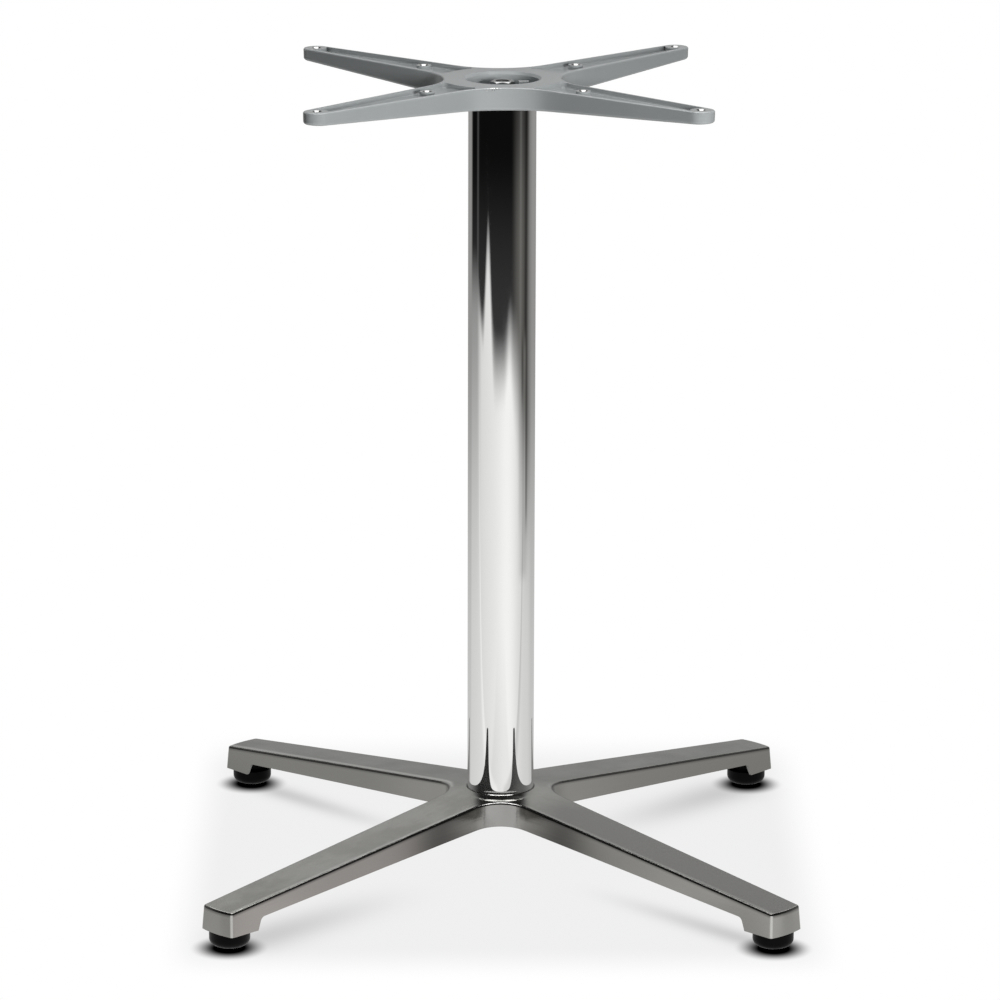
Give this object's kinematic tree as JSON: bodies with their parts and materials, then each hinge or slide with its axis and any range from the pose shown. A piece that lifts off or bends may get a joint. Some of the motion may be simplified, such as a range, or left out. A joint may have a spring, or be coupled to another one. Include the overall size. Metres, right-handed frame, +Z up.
{
  "type": "table base",
  "caption": "Cast aluminium table base: tapering star foot on levelling glides, polished round column and channelled spider with screw holes for a table top.",
  "frame": {"origin": "on the floor under the column axis", "axes": "+Z up along the column, +X to the right and -Y to the front, with the legs on the diagonals"},
  "size_m": [0.5194, 0.5194, 0.72],
  "materials": {
    "satin_aluminium": "satin, cast and ground",
    "polished_aluminium": "mirror polished",
    "silver_coating": "silver-grey coated casting",
    "zinc_steel": "zinc plated",
    "black_plastic": "satin black moulding"
  },
  "bodies": {
    "frame": {"base_star": "satin_aluminium", "column_tube": "polished_aluminium", "top_spider": "silver_coating", "tie_rod": "zinc_steel", "top_washer": "zinc_steel", "top_nut": "zinc_steel", "bottom_washer": "zinc_steel", "bottom_nut": "zinc_steel"},
    "stud_back_right": {"glide_stud_back_right": "zinc_steel"},
    "foot_back_right": {"glide_foot_back_right": "black_plastic"},
    "stud_back_left": {"glide_stud_back_left": "zinc_steel"},
    "foot_back_left": {"glide_foot_back_left": "black_plastic"},
    "stud_front_left": {"glide_stud_front_left": "zinc_steel"},
    "foot_front_left": {"glide_foot_front_left": "black_plastic"},
    "stud_front_right": {"glide_stud_front_right": "zinc_steel"},
    "foot_front_right": {"glide_foot_front_right": "black_plastic"}
  },
  "joints": [
    {"name": "glide_lift_back_right", "type": "slide", "parent": "frame", "child": "stud_back_right", "axis": [0, 0, 1], "range_m": [-0.0075, 0]},
    {"name": "glide_turn_back_right", "type": "hinge", "parent": "stud_back_right", "child": "foot_back_right", "pos_m": [0.23582, 0.23582, 0], "axis": [0, 0, 1], "range_deg": [-2160, 0]},
    {"name": "glide_lift_back_left", "type": "slide", "parent": "frame", "child": "stud_back_left", "axis": [0, 0, 1], "range_m": [-0.0075, 0]},
    {"name": "glide_turn_back_left", "type": "hinge", "parent": "stud_back_left", "child": "foot_back_left", "pos_m": [-0.23582, 0.23582, 0], "axis": [0, 0, 1], "range_deg": [-2160, 0]},
    {"name": "glide_lift_front_left", "type": "slide", "parent": "frame", "child": "stud_front_left", "axis": [0, 0, 1], "range_m": [-0.0075, 0]},
    {"name": "glide_turn_front_left", "type": "hinge", "parent": "stud_front_left", "child": "foot_front_left", "pos_m": [-0.23582, -0.23582, 0], "axis": [0, 0, 1], "range_deg": [-2160, 0]},
    {"name": "glide_lift_front_right", "type": "slide", "parent": "frame", "child": "stud_front_right", "axis": [0, 0, 1], "range_m": [-0.0075, 0]},
    {"name": "glide_turn_front_right", "type": "hinge", "parent": "stud_front_right", "child": "foot_front_right", "pos_m": [0.23582, -0.23582, 0], "axis": [0, 0, 1], "range_deg": [-2160, 0]}
  ],
  "couplings": [
    {"joint": "glide_lift_back_right", "follows": "glide_turn_back_right", "m_per_rad": 0.00019894},
    {"joint": "glide_lift_back_left", "follows": "glide_turn_back_left", "m_per_rad": 0.00019894},
    {"joint": "glide_lift_front_left", "follows": "glide_turn_front_left", "m_per_rad": 0.00019894},
    {"joint": "glide_lift_front_right", "follows": "glide_turn_front_right", "m_per_rad": 0.00019894}
  ]
}
